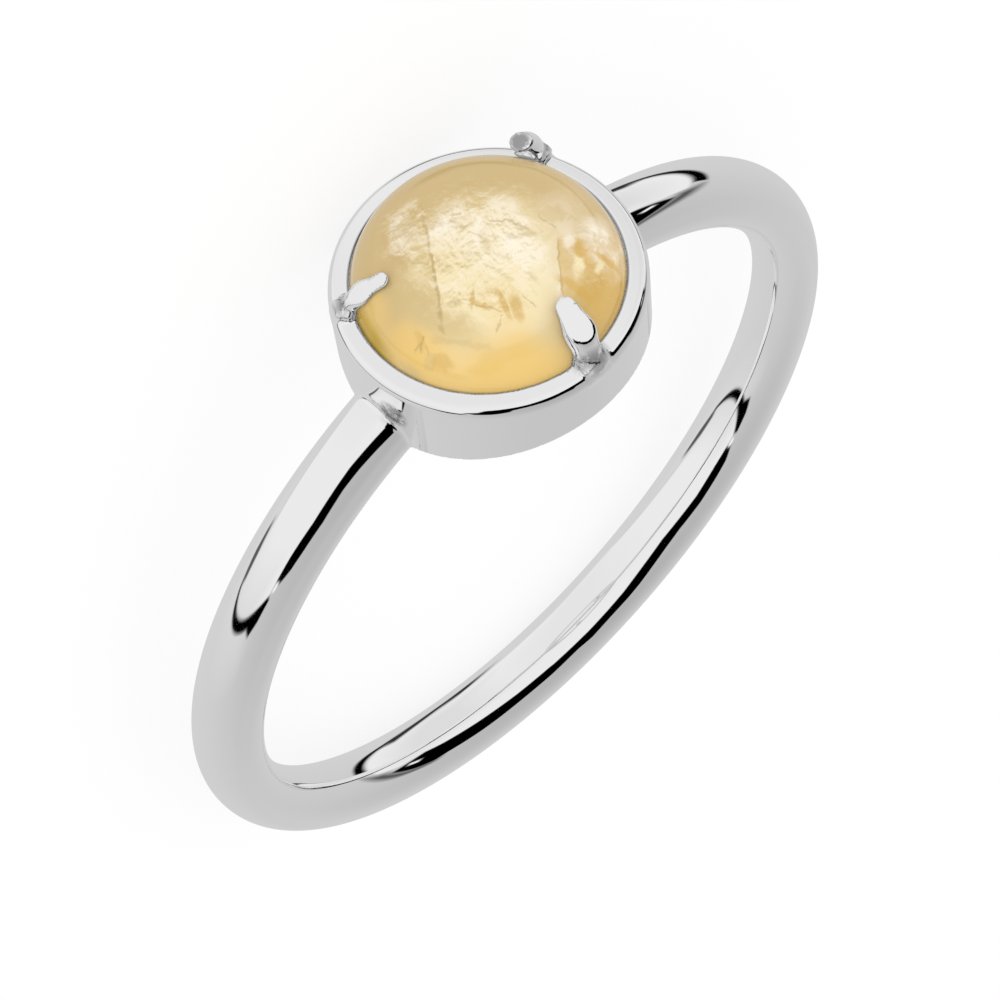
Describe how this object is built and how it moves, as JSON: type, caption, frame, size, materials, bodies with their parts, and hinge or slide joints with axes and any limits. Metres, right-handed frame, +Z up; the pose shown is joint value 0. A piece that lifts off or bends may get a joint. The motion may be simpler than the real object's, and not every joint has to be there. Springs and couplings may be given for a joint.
{
  "type": "citrine ring",
  "caption": "Slim polished silver finger ring whose round bezel cup with claws holds a smooth domed citrine cabochon.",
  "frame": {"origin": "on the surface that the ring lies on, under the middle of its bounding box", "axes": "the ring lies on its side: +Z is up, the finger's axis leans 8.9 degrees from +Z towards +Y, -Y points to the stone and +X runs along the band under it"},
  "size_m": [0.0204, 0.0226, 0.0077],
  "materials": {
    "silver": "mirror-polished sterling silver with a bright white plating",
    "citrine": "polished, translucent golden quartz with veils and fine cracks"
  },
  "bodies": {
    "root": {"ring_mount": "silver", "cabochon": "citrine"}
  },
  "joints": []
}
